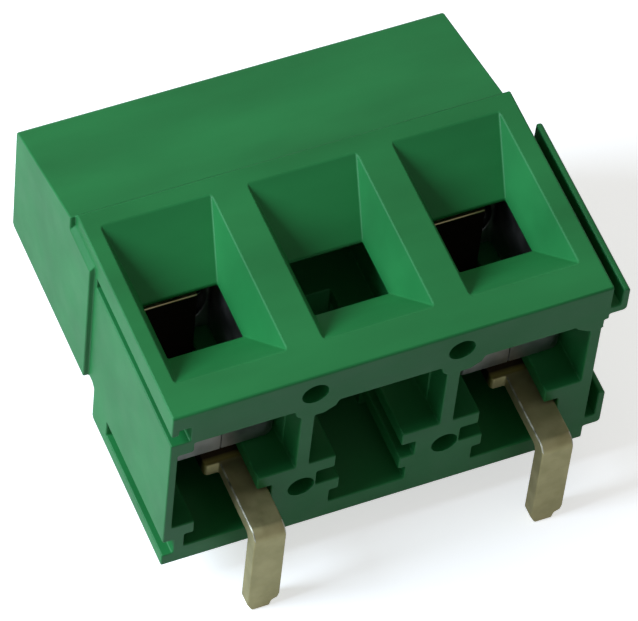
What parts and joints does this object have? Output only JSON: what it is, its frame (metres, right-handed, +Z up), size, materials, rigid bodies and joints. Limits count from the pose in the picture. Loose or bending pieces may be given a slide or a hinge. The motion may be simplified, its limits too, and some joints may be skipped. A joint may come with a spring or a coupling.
{
  "type": "pcb screw terminal",
  "caption": "Moulded board terminal block with flared wire entries on top, rising-cage clamps driven by screws from behind and angled solder pins in front.",
  "frame": {"origin": "midway between the two solder legs, in the plane of the flat foot that stands on the board", "axes": "+Z up, against the way the wires enter; +Y back towards the screw heads; +X along the row of cells, to the right seen from the open face"},
  "size_m": [0.0158, 0.0147, 0.01],
  "materials": {
    "housing": "moulded PA66, green, fine satin",
    "contact": "tinned brass strip, stamped and bent",
    "cage": "nickel-plated steel strip",
    "screw": "zinc-plated steel"
  },
  "bodies": {
    "block": {"housing": "housing", "left_contact": "contact", "right_contact": "contact"},
    "left_cage": {"left_cage": "cage"},
    "right_cage": {"right_cage": "cage"},
    "left_screw": {"left_screw": "screw"},
    "right_screw": {"right_screw": "screw"}
  },
  "joints": [
    {"name": "left_screw_turn", "type": "hinge", "parent": "block", "child": "left_screw", "pos_m": [-0.00557, 0.01132, 0.00497], "axis": [0, -1, 0], "range_deg": [0, 2160]},
    {"name": "left_cage_slide", "type": "slide", "parent": "block", "child": "left_cage", "axis": [0, 1, 0], "range_m": [0, 0.0027]},
    {"name": "right_screw_turn", "type": "hinge", "parent": "block", "child": "right_screw", "pos_m": [0.00443, 0.01132, 0.00497], "axis": [0, -1, 0], "range_deg": [0, 2160]},
    {"name": "right_cage_slide", "type": "slide", "parent": "block", "child": "right_cage", "axis": [0, 1, 0], "range_m": [0, 0.0027]}
  ],
  "couplings": [
    {"joint": "left_screw_turn", "follows": "left_cage_slide", "rad_per_m": 13963},
    {"joint": "right_screw_turn", "follows": "right_cage_slide", "rad_per_m": 13963}
  ]
}
